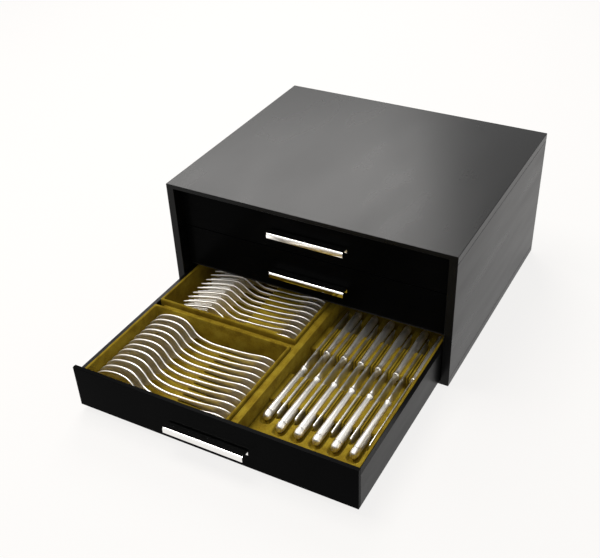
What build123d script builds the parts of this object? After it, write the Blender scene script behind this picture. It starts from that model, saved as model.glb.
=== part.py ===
import os
from math import cos, pi, sin

from build123d import *

os.makedirs("parts", exist_ok=True)

# Silverware chest: a lacquered case with three drawers. The lowest drawer stands open and
# carries spoons, forks and knives in velvet racks.
#
# Frame: origin on the resting plane under the middle of the case, +X to the right seen from
# the front, +Y to the back, +Z up. All sizes in millimetres.
#
# Pieces of a drawer are modelled in the drawer's own frame: x as above, y from the front
# face backwards, z from the drawer's lower edge upwards.

# ---------------------------------------------------------------- case
WIDTH = 450.0
DEPTH = 387.0
HEIGHT = 217.0
SIDE_THICK = 12.0
DECK_THICK = 6.5
BACK_THICK = 6.0
BACK_REBATE = 3.0
SHELF_THICK = 6.0
SHELF_SETBACK = 0.5
DADO_DEPTH = 3.0
FELT_THICK = 2.0
FELT_INSET = 6.0
FELT_CORNER = 4.0
LONG_EDGE_ROUND = 0.8
FRONT_EDGE_CHAMFER = 0.4
JOINT_LINE_WIDTH = 0.8
JOINT_LINE_DEPTH = 0.5
JOINT_LINE_FROM_EDGE = 12.2
MITRE_REACH = 1.5

# ---------------------------------------------------------------- drawers
DRAWER_COUNT = 3
OPEN_DRAWER = 3
OPEN_TRAVEL = 280.5
FRONT_RECESS = 17.0
FRONT_HEIGHT = 66.4
FRONT_THICK = 6.0
FRONT_GAP = 1.2
SIDE_GAP = 0.8
DRAWER_DEPTH = 363.5
BOX_SIDE_THICK = 5.4
BOX_SIDE_HEIGHT = 54.8
BOX_BACK_THICK = 5.5
BOX_BACK_LIFT = 0.6
BOTTOM_Z = 4.0
BOTTOM_THICK = 3.0
BOTTOM_GROOVE = 2.5
STRIP_THICK = 0.8
STRIP_WIDTH = 8.0
STRIP_CLEARANCE = 0.3
STRIP_SETBACK = 2.0
STOP_X = 150.0
STOP_LENGTH = 30.0
STOP_DEPTH = 12.0
STOP_HEIGHT = 4.6
STOP_CLEARANCE = 0.5
STOP_CHAMFER = 2.0

# ---------------------------------------------------------------- handles
HANDLE_HALF = 60.0
HANDLE_REACH = 15.7
HANDLE_TOP = 33.0
HANDLE_SHEET = 2.0
HANDLE_DROP = 8.0
HANDLE_BEND = 1.6
SCREW_X = 44.0
SCREW_Z = 28.0
SCREW_RADIUS = 1.5
SCREW_HEAD_RADIUS = 3.0
SCREW_CLEARANCE = 0.1
SCREW_TIP_GAP = 0.3

# ---------------------------------------------------------------- velvet insert
RIM_TOP = 56.3
TRAY_WALL = 3.6
TRAY_FLOOR = 2.0
TRAY_CLEARANCE = 0.3
RIM_ROUND = 1.0
TRAY_RIGHT = 23.2
SPOON_TRAY_BACK = 178.2
FORK_TRAY_FRONT = 190.4
SPACER_LEFT = -199.0
LOW_TOP = 48.3
DIVIDER_LEFT = 24.0
DIVIDER_RIGHT = 35.0
DIVIDER_TOP = 52.0
KNIFE_FLOOR_TOP = 12.0
KNIFE_WALL = 1.9
STEM_RACK_X = (-75.0, -17.0)
SPOON_RACK_Y = (10.2, 161.0)
FORK_RACK_Y = (197.0, 350.0)
LOW_RIDGE = (31.5, 33.5)
HIGH_RIDGE = (37.5, 40.5)
RIDGE_CREST_PART = 0.36
SLOT_HALF = 1.7
SLOT_DEPTH = 11.0
BLOCK_END_DROP = 1.0
UPPER_BAR_HALF = 5.5
UPPER_RACK_NEAR = 70.0
UPPER_RACK_FAR = 128.0
UPPER_FIRST_Y = 34.0
UPPER_PITCH = 27.0
UPPER_SLOTS = 12

# ---------------------------------------------------------------- cutlery
PIECES_PER_KIND = 12
AXIS_Z = 32.0
OVAL_SIDES = 8
HANDLE_END_X = 12.0
STEM_HALF_WIDTH = 3.0
BOWL_PARTS = 4
SPOON_PITCH = 12.75
SPOON_FIRST_Y = 153.0
SPOON_TIP_X = -195.0
SPOON_SHEET = 2.0
BOWL_HALF_WIDTH = 19.5
FORK_PITCH = 12.5
FORK_FIRST_Y = 205.5
FORK_TIP_X = -182.0
FORK_SHEET = 1.8
TINE_WIDTH = 3.2
TINE_PITCH = 6.6
TINE_ROOT_X = -141.0
TINES = 4

KNIFE_PITCH = 26.4
KNIVES_PER_ROW = 6
FRONT_KNIFE_X = 47.3
BACK_KNIFE_X = 61.0
FRONT_BUTT_Y = 50.5
FIRST_KNIFE_SHIFT = 12.0
BACK_BUTT_Y = 320.0
KNIFE_AXIS_Z = 28.5
KNIFE_HANDLE_LENGTH = 121.0
KNIFE_LENGTH = 249.0
BLADE_THICK = 1.8
BLADE_SPINE = 8.0
BLADE_EDGE = 11.0
BLADE_TIP_LENGTH = 18.0
BLADE_TIP_STEPS = 5
HEEL_LENGTH = 7.0
HEEL_DROP = 6.5
NOSE_ROUND = 3.0

# ---------------------------------------------------------------- knife supports
RACK_TOP = 32.5
GROOVE_HALF = 5.3
GROOVE_AXIS_Z = 23.0
BLADE_SLOT = (3.2, 15.0)
SPARE_SLOT = (1.6, 21.0)
SPARE_SHIFT = 5.3
PAD_TOP = 28.0
WELL_RADIUS = 9.2
WELL_DOME = [(0.0, WELL_RADIUS), (5.6, 7.4), (9.6, 2.9)]
WELL_SHIFT = 1.6
WELL_AXIS_Z = 28.0
POCKET_WIDTH = 9.0
POCKET_CORNER = 3.0
POCKET_BOTTOM = 15.0
FRONT_RACK_Y = (95.0, 152.0)
BACK_RACK_Y = (212.0, 268.0)
TIP_ROOM = 1.5

# ---------------------------------------------------------------- worked-out sizes
BASE_Z = FELT_THICK
TOP_Z = BASE_Z + HEIGHT
HALF_WIDTH = WIDTH / 2
HALF_DEPTH = DEPTH / 2
INNER_HALF = HALF_WIDTH - SIDE_THICK
BAY_FLOOR_Z = BASE_Z + DECK_THICK
BAY_TOP_Z = TOP_Z - DECK_THICK
BAY_BACK_Y = HALF_DEPTH - BACK_THICK
FRONT_HALF = INNER_HALF - SIDE_GAP
BOX_INNER_HALF = FRONT_HALF - BOX_SIDE_THICK
CLOSED_FRONT_Y = -HALF_DEPTH + FRONT_RECESS
DRAWER_PITCH = FRONT_HEIGHT + FRONT_GAP
BOTTOM_TOP = BOTTOM_Z + BOTTOM_THICK
TRAY_HALF = BOX_INNER_HALF - TRAY_CLEARANCE
TRAY_FRONT = FRONT_THICK + TRAY_CLEARANCE
TRAY_BACK = DRAWER_DEPTH - BOX_BACK_THICK - TRAY_CLEARANCE


def block(x_range, y_range, z_range):
    """Rectangular block between the given limits."""
    size = [high - low for low, high in (x_range, y_range, z_range)]
    middle = [(high + low) / 2 for low, high in (x_range, y_range, z_range)]
    return Pos(*middle) * Box(*size)


def flat_face(corners):
    """Plane face with straight edges."""
    return Face(Wire.make_polygon(corners))


def faceted_loft(rings):
    """Solid through rings of equally many points, its sides made of plane triangles."""
    faces = [flat_face(rings[0]), flat_face(rings[-1])]
    for near, far in zip(rings, rings[1:]):
        for index in range(len(near)):
            faces.append(flat_face((near[index - 1], near[index], far[index])))
            faces.append(flat_face((near[index - 1], far[index], far[index - 1])))
    return Solid(Shell(faces))


def oval_ring(y, half_width, half_height):
    """Many-sided oval across the Y axis; its flat sides touch the given half sizes."""
    turns = [2 * pi * (side + 0.5) / OVAL_SIDES for side in range(OVAL_SIDES)]
    grow = 1 / cos(pi / OVAL_SIDES)
    return [(grow * half_width * cos(turn), y, grow * half_height * sin(turn)) for turn in turns]


def along_y(stations):
    """Solid along the Y axis through ovals given as (y, half width, half height)."""
    return faceted_loft([oval_ring(*station) for station in stations])


def drawer_base_z(number):
    """Height of a drawer's lower edge; drawer 1 is the uppermost."""
    return BAY_FLOOR_Z + FRONT_GAP + (DRAWER_COUNT - number) * DRAWER_PITCH


def in_drawer(number, shape):
    """Moves a shape from a drawer's own frame to its place in the chest."""
    travel = OPEN_TRAVEL if number == OPEN_DRAWER else 0.0
    return Pos(0, CLOSED_FRONT_Y - travel, drawer_base_z(number)) * shape


def save(shapes, name):
    """Writes one node; a list becomes a group of separate solids."""
    if isinstance(shapes, list):
        shapes = Compound(children=shapes)
    shapes.label = name
    export_step(shapes, f"parts/{name}.step")


# ================================================================ case
def shelf_z(number):
    """Top of the shelf that carries drawer `number`."""
    return drawer_base_z(number) - FRONT_GAP


def shelf(number):
    """Dust shelf under a drawer, housed in the side panels."""
    top = shelf_z(number)
    reach = INNER_HALF + DADO_DEPTH
    front = CLOSED_FRONT_Y + FRONT_THICK + SHELF_SETBACK
    return block((-reach, reach), (front, BAY_BACK_Y), (top - SHELF_THICK, top))


def back_panel():
    """Back board in a rebate round the case."""
    reach = INNER_HALF + 2 * BACK_REBATE
    z_range = (BAY_FLOOR_Z - BACK_REBATE, BAY_TOP_Z + BACK_REBATE)
    return block((-reach, reach), (BAY_BACK_Y, HALF_DEPTH), z_range)


def case_ring():
    """The four outer panels in one piece, before the mitres part them."""
    middle = (BASE_Z + TOP_Z) / 2
    section = Rectangle(WIDTH, HEIGHT) - Rectangle(2 * INNER_HALF, HEIGHT - 2 * DECK_THICK)
    ring = extrude(Plane.XZ.offset(-HALF_DEPTH) * Pos(0, middle) * section, DEPTH)
    long_edges = ring.edges().filter_by(Axis.Y)
    corners = long_edges.filter_by(lambda edge: abs(edge.center().X) > INNER_HALF + 1)
    ring = fillet(corners, LONG_EDGE_ROUND)
    front = ring.faces().sort_by(Axis.Y)[0]
    return chamfer(front.edges(), FRONT_EDGE_CHAMFER)


def joint_lines():
    """Fine grooves on the outer side faces, near the upper and lower edges."""
    grooves = []
    for side in (-1, 1):
        for z in (BASE_Z + JOINT_LINE_FROM_EDGE, TOP_Z - JOINT_LINE_FROM_EDGE):
            x_range = sorted((side * (HALF_WIDTH - JOINT_LINE_DEPTH), side * (HALF_WIDTH + 1)))
            z_range = (z - JOINT_LINE_WIDTH / 2, z + JOINT_LINE_WIDTH / 2)
            grooves.append(block(x_range, (-HALF_DEPTH - 1, HALF_DEPTH + 1), z_range))
    return grooves


def mitre_wedge(upper):
    """Prism over the top panel or under the bottom panel, bounded by the mitre planes."""
    inner_z = BAY_TOP_Z if upper else BAY_FLOOR_Z
    rise = DECK_THICK if upper else -DECK_THICK
    outer_x = INNER_HALF + MITRE_REACH * SIDE_THICK
    outer_z = inner_z + MITRE_REACH * rise
    inner_edge = [(-INNER_HALF, inner_z), (INNER_HALF, inner_z)]
    outline = make_face(Polyline(*inner_edge, (outer_x, outer_z), (-outer_x, outer_z), close=True))
    return extrude(Plane.XZ.offset(-HALF_DEPTH - 1) * outline, DEPTH + 2)


def case_panels():
    """Top, bottom, left and right panels, mitred at the corners."""
    ring = case_ring() - joint_lines() - back_panel()
    housed = ring - shelf(1) - shelf(2)
    top = ring & mitre_wedge(True)
    bottom = ring & mitre_wedge(False)
    sides = housed - mitre_wedge(True) - mitre_wedge(False)
    left, right = sides.solids().sort_by(Axis.X)
    return {"top_panel": top, "bottom_panel": bottom, "left_side_panel": left, "right_side_panel": right}


def runner_strips():
    """Thin slip strips under both sides of every drawer."""
    strips = []
    for number in range(1, DRAWER_COUNT + 1):
        floor = shelf_z(number)
        for side in (-1, 1):
            outer = INNER_HALF - STRIP_CLEARANCE
            x_range = sorted((side * outer, side * (outer - STRIP_WIDTH)))
            y_range = (CLOSED_FRONT_Y + FRONT_THICK + STRIP_SETBACK, BAY_BACK_Y - STRIP_SETBACK)
            strips.append(block(x_range, y_range, (floor, floor + STRIP_THICK)))
    return strips


def stop_blocks():
    """Two blocks per bay that catch the drawer's back when it is pulled right out."""
    blocks = []
    back_of_drawer = CLOSED_FRONT_Y - OPEN_TRAVEL + DRAWER_DEPTH - BOX_BACK_THICK
    rear = back_of_drawer - STOP_CLEARANCE
    for number in range(1, DRAWER_COUNT + 1):
        floor = shelf_z(number)
        for x in (-STOP_X, STOP_X):
            piece = block((x - STOP_LENGTH / 2, x + STOP_LENGTH / 2), (rear - STOP_DEPTH, rear),
                          (floor, floor + STOP_HEIGHT))
            blocks.append(chamfer(piece.edges().filter_by(Axis.Z), STOP_CHAMFER))
    return blocks


def felt_base():
    """Felt sheet glued under the bottom panel; its underside is the resting plane."""
    reach_x = HALF_WIDTH - FELT_INSET
    reach_y = HALF_DEPTH - FELT_INSET
    sheet = block((-reach_x, reach_x), (-reach_y, reach_y), (0, FELT_THICK))
    return fillet(sheet.edges().filter_by(Axis.Z), FELT_CORNER)


# ================================================================ drawer box
def screw_places():
    """Handle screws: x and z of each, on the drawer front."""
    return [(-SCREW_X, SCREW_Z), (SCREW_X, SCREW_Z)]


def screw(clearance):
    """Countersunk screw from the inside of the front into the handle's flange."""
    radius = SCREW_RADIUS + clearance
    head = SCREW_HEAD_RADIUS + clearance
    tip = -HANDLE_SHEET if clearance else SCREW_TIP_GAP - HANDLE_SHEET
    neck = FRONT_THICK - SCREW_HEAD_RADIUS + SCREW_RADIUS
    return along_y([(tip, radius, radius), (neck, radius, radius), (FRONT_THICK, head, head)])


def handle_screws():
    """Both screws of one handle."""
    return [Pos(x, 0, z) * screw(0.0) for x, z in screw_places()]


def handle():
    """Bent strip handle: flange against the front, flat plate, lip turned down."""
    near_y = -HANDLE_SHEET / 2
    far_y = HANDLE_SHEET / 2 - HANDLE_REACH
    plate_z = HANDLE_TOP - HANDLE_SHEET / 2
    foot_z = HANDLE_TOP - HANDLE_DROP
    path = Polyline((near_y, foot_z), (near_y, plate_z), (far_y, plate_z), (far_y, foot_z))
    bent = fillet(path.vertices().sort_by(Axis.Y)[2:], HANDLE_BEND)
    section = trace(bent, HANDLE_SHEET)
    strip = extrude(Plane.YZ.offset(-HANDLE_HALF) * section, 2 * HANDLE_HALF)
    for x, z in screw_places():
        strip -= Pos(x, 0, z) * screw(SCREW_CLEARANCE)
    return strip


def drawer_front():
    """Front board with the handle's screw holes and the groove for the bottom."""
    board = block((-FRONT_HALF, FRONT_HALF), (0, FRONT_THICK), (0, FRONT_HEIGHT))
    board = chamfer(board.faces().sort_by(Axis.Y)[0].edges(), FRONT_EDGE_CHAMFER)
    board -= bottom_board()
    for x, z in screw_places():
        board -= Pos(x, 0, z) * screw(SCREW_CLEARANCE)
    return board


def bottom_board():
    """Thin bottom, held in grooves in the front, the sides and the back."""
    reach = BOX_INNER_HALF + BOTTOM_GROOVE
    y_range = (FRONT_THICK - BOTTOM_GROOVE, DRAWER_DEPTH - BOX_BACK_THICK + BOTTOM_GROOVE)
    return block((-reach, reach), y_range, (BOTTOM_Z, BOTTOM_TOP))


def drawer_side(side):
    """Left (-1) or right (1) side of the drawer box."""
    x_range = sorted((side * BOX_INNER_HALF, side * FRONT_HALF))
    board = block(x_range, (FRONT_THICK, DRAWER_DEPTH), (0, BOX_SIDE_HEIGHT))
    return board - bottom_board()


def drawer_back():
    """Back board between the sides; its lower edge meets the stop blocks."""
    y_range = (DRAWER_DEPTH - BOX_BACK_THICK, DRAWER_DEPTH)
    board = block((-BOX_INNER_HALF, BOX_INNER_HALF), y_range, (BOX_BACK_LIFT, BOX_SIDE_HEIGHT))
    return board - bottom_board()


# ================================================================ velvet insert
def open_tray(x_range, y_range, wall):
    """Velvet tray, open at the top, with a softly rounded rim."""
    z_range = (BOTTOM_TOP, RIM_TOP)
    tray = block(x_range, y_range, z_range)
    hollow = block((x_range[0] + wall, x_range[1] - wall), (y_range[0] + wall, y_range[1] - wall),
                   (BOTTOM_TOP + TRAY_FLOOR, RIM_TOP + 1))
    tray -= hollow
    rim = tray.faces().sort_by(Axis.Z)[-1]
    return chamfer(rim.edges(), RIM_ROUND)


def spoon_tray():
    """Left front tray."""
    return open_tray((-TRAY_HALF, TRAY_RIGHT), (TRAY_FRONT, SPOON_TRAY_BACK), TRAY_WALL)


def fork_tray():
    """Left back tray."""
    return open_tray((-TRAY_HALF, TRAY_RIGHT), (FORK_TRAY_FRONT, TRAY_BACK), TRAY_WALL)


def soft_bar(x_range, y_range, top):
    """Velvet-covered bar standing on the bottom, upper edges rounded."""
    bar = block(x_range, y_range, (BOTTOM_TOP, top))
    return chamfer(bar.faces().sort_by(Axis.Z)[-1].edges(), RIM_ROUND)


def tray_spacer():
    """Lower bar between the two left trays; it stops short of the left side."""
    y_range = (SPOON_TRAY_BACK + TRAY_CLEARANCE, FORK_TRAY_FRONT - TRAY_CLEARANCE)
    return soft_bar((SPACER_LEFT, TRAY_RIGHT), y_range, LOW_TOP)


def centre_divider():
    """Long bar between the trays and the knives."""
    return soft_bar((DIVIDER_LEFT, DIVIDER_RIGHT), (TRAY_FRONT, TRAY_BACK), DIVIDER_TOP)


def knife_tray():
    """Padded floor of the knife side, with thin linings up the right side and the back."""
    left = DIVIDER_RIGHT + TRAY_CLEARANCE
    length = (TRAY_FRONT, TRAY_BACK)
    floor = block((left, TRAY_HALF), length, (BOTTOM_TOP, KNIFE_FLOOR_TOP))
    right_lining = block((TRAY_HALF - KNIFE_WALL, TRAY_HALF), length, (BOTTOM_TOP, RIM_TOP))
    back_lining = block((left, TRAY_HALF), (TRAY_BACK - TRAY_WALL, TRAY_BACK), (BOTTOM_TOP, RIM_TOP))
    bead = block((TRAY_HALF - TRAY_WALL, TRAY_HALF), length, (RIM_TOP - TRAY_WALL, RIM_TOP))
    bead = chamfer(bead.edges().filter_by(Axis.Y).sort_by(Axis.X)[:2], RIM_ROUND)
    return floor + right_lining + back_lining + bead


# ================================================================ knife supports
def knife_places(first_x):
    """X of each knife in one row."""
    return [first_x + index * KNIFE_PITCH for index in range(KNIVES_PER_ROW)]


def front_butt_places():
    """X and Y of the butts of the front row; the first knife lies further back."""
    shifts = [FIRST_KNIFE_SHIFT] + [0.0] * (KNIVES_PER_ROW - 1)
    return [(x, FRONT_BUTT_Y + shift) for x, shift in zip(knife_places(FRONT_KNIFE_X), shifts)]


def back_butt_places():
    """X and Y of the butts of the back row."""
    return [(x, BACK_BUTT_Y) for x in knife_places(BACK_KNIFE_X)]


def support_block(y_range, top):
    """Plain padded block across the knife side, on the padded floor."""
    left = DIVIDER_RIGHT + TRAY_CLEARANCE
    right = TRAY_HALF - KNIFE_WALL
    return block((left, right), y_range, (KNIFE_FLOOR_TOP, top))


def butt_well(x, centre_y, open_end_y):
    """Round-bottomed channel with a domed end, for one knife butt."""
    outward = 1 if centre_y > open_end_y else -1
    stations = [(open_end_y, WELL_RADIUS, WELL_RADIUS)]
    for reach, radius in WELL_DOME:
        stations.append((centre_y + outward * reach, radius, radius))
    return Pos(x + WELL_SHIFT, 0, WELL_AXIS_Z) * along_y(stations)


def tip_pocket(x, tip_y, open_end_y):
    """Pocket for one blade tip, its end corners cut off."""
    outward = 1 if tip_y > open_end_y else -1
    end_y = tip_y + outward * TIP_ROOM
    y_range = sorted((end_y, open_end_y))
    pocket = upright_slot(x, y_range, POCKET_WIDTH, POCKET_BOTTOM)
    uprights = pocket.edges().filter_by(Axis.Z)
    end_corners = uprights.filter_by(lambda edge: abs(edge.center().Y - end_y) < 1)
    return chamfer(end_corners, POCKET_CORNER)


def front_butt_pad():
    """Pad under the butts of the front row; the back row's tips reach into its pockets."""
    end_y = FRONT_RACK_Y[0]
    pad = support_block((TRAY_FRONT, end_y), PAD_TOP)
    wells = [butt_well(x, y, end_y + 1) for x, y in front_butt_places()]
    pockets = [tip_pocket(x, y - KNIFE_LENGTH, end_y + 1) for x, y in back_butt_places()]
    return pad - wells - pockets


def back_butt_pad():
    """Pad under the butts of the back row; the front row's tips reach into its pockets."""
    start_y = BACK_RACK_Y[1]
    pad = support_block((start_y, TRAY_BACK - TRAY_WALL), PAD_TOP)
    wells = [butt_well(x, y, start_y - 1) for x, y in back_butt_places()]
    pockets = [tip_pocket(x, y + KNIFE_LENGTH, start_y - 1) for x, y in front_butt_places()]
    return pad - wells - pockets


def handle_groove(x, y_range):
    """Open-topped groove with a rounded bottom for a knife handle."""
    length = (y_range[0] - 1, y_range[1] + 1)
    upper = block((x - GROOVE_HALF, x + GROOVE_HALF), length, (GROOVE_AXIS_Z, RACK_TOP + 1))
    lower = Pos(x, 0, GROOVE_AXIS_Z) * along_y([(y, GROOVE_HALF, GROOVE_HALF) for y in length])
    return upper + lower


def upright_slot(x, y_range, width, bottom_z):
    """Slot with upright sides, open at the top."""
    return block((x - width / 2, x + width / 2), y_range, (bottom_z, RACK_TOP + 1))


def knife_rack(y_range, handle_x, blade_x):
    """Comb block: a groove for each handle, a slot for each passing blade and a spare slot."""
    rack = support_block(y_range, RACK_TOP)
    cuts = [handle_groove(x, y_range) for x in knife_places(handle_x)]
    cuts += [upright_slot(x, y_range, *BLADE_SLOT) for x in knife_places(blade_x)]
    cuts += [upright_slot(x + SPARE_SHIFT, y_range, *SPARE_SLOT) for x in knife_places(blade_x)]
    return rack - cuts


# ================================================================ cutlery
def leaf_ring(x, mid_y, half_width, hollow, sheet):
    """Ring round a spoon across X: a thin strip, bowed backwards by `hollow` in its middle."""
    spread = [2 * part / BOWL_PARTS - 1 for part in range(BOWL_PARTS + 1)]
    back = [(x, mid_y + sheet / 2 + hollow * (1 - t * t), t * half_width) for t in spread]
    front = [(x, y - sheet, z) for x, y, z in reversed(back)]
    return back + front


def flat_ring(x, mid_y, half_width, sheet):
    """Ring round a fork across X: a flat strip."""
    near = mid_y - sheet / 2
    far = mid_y + sheet / 2
    return [(x, near, -half_width), (x, far, -half_width), (x, far, half_width), (x, near, half_width)]


def handle_stations():
    """Stem and spatula end that spoons and forks share, as (x, middle y, half width)."""
    end = HANDLE_END_X
    stem = [(end - 104, 0, STEM_HALF_WIDTH), (end - 52, 0, 3.6)]
    spatula = [(end - 34, 0.3, 8.8), (end - 20, 0.9, 11.0), (end - 8, 1.7, 9.2), (end - 1.5, 2.2, 4.4)]
    return stem + spatula + [(end, 2.3, 1.6)]


def spoon():
    """Table spoon on its edge: dished bowl to the left, hollow side to the front."""
    tip = SPOON_TIP_X
    wide = BOWL_HALF_WIDTH
    outer_half = [(tip, 6.5, 2.0, 0.2), (tip + 4, 9.0, 8.5, 1.2), (tip + 13, 12.0, 14.5, 3.6)]
    middle = [(tip + 28, 14.0, wide - 0.7, 5.6), (tip + 44, 13.6, wide, 6.2)]
    root = [(tip + 57, 11.0, 15.5, 4.6), (tip + 67, 7.6, 9.0, 2.0), (tip + 80, 3.4, STEM_HALF_WIDTH, 0)]
    stem = [(x, y, half, 0) for x, y, half in handle_stations()]
    stations = outer_half + middle + root + stem
    return faceted_loft([leaf_ring(*station, SPOON_SHEET) for station in stations])


def fork():
    """Table fork on its edge: tines to the left."""
    tip = FORK_TIP_X
    root = TINE_ROOT_X
    head_half = (TINES - 1) * TINE_PITCH / 2 + TINE_WIDTH / 2
    head = [(root, 8.6, head_half), (root + 10, 10.0, head_half - 1), (root + 20, 8.8, 6.0)]
    neck = [(root + 31, 5.0, 3.2), (root + 42, 1.2, STEM_HALF_WIDTH)]
    stations = head + neck + handle_stations()
    body = faceted_loft([flat_ring(*station, FORK_SHEET) for station in stations])
    half = TINE_WIDTH / 2
    curve = [(tip, -6.5, 0.5), (tip + 12, -1.5, half), (tip + 27, 4.7, half), (root, 8.6, half)]
    tine = faceted_loft([flat_ring(*station, FORK_SHEET) for station in curve])
    for index in range(TINES):
        body += Pos(0, 0, (index - (TINES - 1) / 2) * TINE_PITCH) * tine
    return body


def knife_handle():
    """Hollow-ware knife handle lying along +Y from its butt, with collar and flared bolster."""
    grip = [(0, 2.4, 4.4), (3, 4.2, 7.4), (9, 4.9, 8.7), (45, 4.6, 8.0), (105, 3.7, 6.4)]
    collar = [(105.6, 4.4, 7.2), (109, 4.2, 7.2)]
    flare = [(113, 2.6, 7.6), (KNIFE_HANDLE_LENGTH, 1.1, 7.9)]
    return along_y(grip + collar + flare)


def knife_blade():
    """Round-tipped blade, spine up, running on from the bolster."""
    tip_start = KNIFE_LENGTH - BLADE_TIP_LENGTH
    nose_z = BLADE_SPINE - NOSE_ROUND
    spine = [(KNIFE_HANDLE_LENGTH, BLADE_SPINE), (KNIFE_LENGTH - NOSE_ROUND, BLADE_SPINE)]
    turns = [pi / 2 * step / BLADE_TIP_STEPS for step in range(BLADE_TIP_STEPS + 1)]
    drop = BLADE_EDGE + nose_z
    tip = [(tip_start + BLADE_TIP_LENGTH * cos(turn), nose_z - drop * sin(turn)) for turn in turns]
    heel = [(KNIFE_HANDLE_LENGTH + HEEL_LENGTH, -BLADE_EDGE), (KNIFE_HANDLE_LENGTH, -HEEL_DROP)]
    outline = make_face(Polyline(*spine, *tip, *heel, close=True))
    return extrude(Plane.YZ * outline, BLADE_THICK / 2, both=True)


def knife_rows(make_piece):
    """Both rows: the front row's blades point back, the back row's point forward."""
    piece = make_piece()
    front = [Pos(x, y, KNIFE_AXIS_Z) * piece for x, y in front_butt_places()]
    back = [Pos(x, y, KNIFE_AXIS_Z) * Rot(0, 0, 180) * piece for x, y in back_butt_places()]
    return front + back


def rows(piece, first_y, pitch):
    """Equal pieces of cutlery side by side."""
    return [Pos(0, first_y + index * pitch, AXIS_Z) * piece for index in range(PIECES_PER_KIND)]


# ================================================================ stem racks
def ridge_profile(y_range, first_y, pitch, count, heights):
    """Section of a ridged block: rounded ridges with a slot between them for every stem."""
    foot_z, crest_z = heights
    slot_bottom = AXIS_Z - SLOT_DEPTH
    end_z = crest_z - BLOCK_END_DROP
    edges = [Line((y_range[0], end_z), (first_y - SLOT_HALF, foot_z))]

    def extend(target):
        edges.append(Line(edges[-1] @ 1, target))

    for index in range(count):
        centre = first_y + index * pitch
        extend((centre - SLOT_HALF, slot_bottom))
        extend((centre + SLOT_HALF, slot_bottom))
        extend((centre + SLOT_HALF, foot_z))
        if index < count - 1:
            extend((centre + RIDGE_CREST_PART * pitch, crest_z))
            extend((centre + (1 - RIDGE_CREST_PART) * pitch, crest_z))
            extend((centre + pitch - SLOT_HALF, foot_z))
    extend((y_range[1], end_z))
    extend((y_range[1], BOTTOM_TOP + TRAY_FLOOR))
    extend((y_range[0], BOTTOM_TOP + TRAY_FLOOR))
    extend(edges[0] @ 0)
    return make_face(edges)


def stem_rack(x_range, *row):
    """Ridged block across one tray."""
    return extrude(Plane.YZ.offset(x_range[0]) * ridge_profile(*row), x_range[1] - x_range[0])


def spoon_rack():
    """Low ridges: the spoon stems show just above them."""
    first = SPOON_FIRST_Y - (PIECES_PER_KIND - 1) * SPOON_PITCH
    return stem_rack(STEM_RACK_X, SPOON_RACK_Y, first, SPOON_PITCH, PIECES_PER_KIND, LOW_RIDGE)


def fork_rack():
    """High ridges: the fork stems sink between them."""
    return stem_rack(STEM_RACK_X, FORK_RACK_Y, FORK_FIRST_Y, FORK_PITCH, PIECES_PER_KIND, HIGH_RIDGE)


# ================================================================ upper drawers
def upper_liner():
    """Velvet tray of a closed drawer."""
    return open_tray((-TRAY_HALF, TRAY_HALF), (TRAY_FRONT, TRAY_BACK), TRAY_WALL)


def upper_divider():
    """Bar along the middle of a closed drawer's tray."""
    y_range = (TRAY_FRONT + TRAY_WALL, TRAY_BACK - TRAY_WALL)
    bar = block((-UPPER_BAR_HALF, UPPER_BAR_HALF), y_range, (BOTTOM_TOP + TRAY_FLOOR, LOW_TOP))
    upper_edges = bar.faces().sort_by(Axis.Z)[-1].edges().filter_by(Axis.Y)
    return chamfer(upper_edges, RIM_ROUND)


def upper_rack(side):
    """Ridged stem rack in the left (-1) or right (1) half of a closed drawer."""
    x_range = sorted((side * UPPER_RACK_NEAR, side * UPPER_RACK_FAR))
    last_y = UPPER_FIRST_Y + (UPPER_SLOTS - 1) * UPPER_PITCH
    y_range = (UPPER_FIRST_Y - UPPER_PITCH / 2, last_y + UPPER_PITCH / 2)
    return stem_rack(x_range, y_range, UPPER_FIRST_Y, UPPER_PITCH, UPPER_SLOTS, HIGH_RIDGE)


# ================================================================ nodes
def carcass_nodes():
    """Everything that stays put when the drawers move."""
    nodes = case_panels()
    nodes["back_panel"] = back_panel()
    nodes["upper_shelf"] = shelf(1)
    nodes["lower_shelf"] = shelf(2)
    nodes["runner_strips"] = runner_strips()
    nodes["stop_blocks"] = stop_blocks()
    nodes["felt_base"] = felt_base()
    return nodes


def box_nodes():
    """The wooden box and the handle, the same for every drawer."""
    return {
        "front": drawer_front(),
        "left_side": drawer_side(-1),
        "right_side": drawer_side(1),
        "back": drawer_back(),
        "bottom": bottom_board(),
        "handle": handle(),
        "handle_screws": handle_screws(),
    }


def upper_insert_nodes():
    """Velvet insert of a closed drawer."""
    return {
        "liner": upper_liner(),
        "divider": upper_divider(),
        "left_rack": upper_rack(-1),
        "right_rack": upper_rack(1),
    }


def open_insert_nodes():
    """Velvet insert and cutlery of the open drawer."""
    spoon_first = SPOON_FIRST_Y - (PIECES_PER_KIND - 1) * SPOON_PITCH
    return {
        "spoon_tray": spoon_tray(),
        "fork_tray": fork_tray(),
        "tray_spacer": tray_spacer(),
        "centre_divider": centre_divider(),
        "knife_tray": knife_tray(),
        "front_butt_pad": front_butt_pad(),
        "back_butt_pad": back_butt_pad(),
        "front_knife_rack": knife_rack(FRONT_RACK_Y, FRONT_KNIFE_X, BACK_KNIFE_X),
        "back_knife_rack": knife_rack(BACK_RACK_Y, BACK_KNIFE_X, FRONT_KNIFE_X),
        "spoon_rack": spoon_rack(),
        "fork_rack": fork_rack(),
        "table_spoons": rows(spoon(), spoon_first, SPOON_PITCH),
        "table_forks": rows(fork(), FORK_FIRST_Y, FORK_PITCH),
        "knife_handles": knife_rows(knife_handle),
        "knife_blades": knife_rows(knife_blade),
    }


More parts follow.
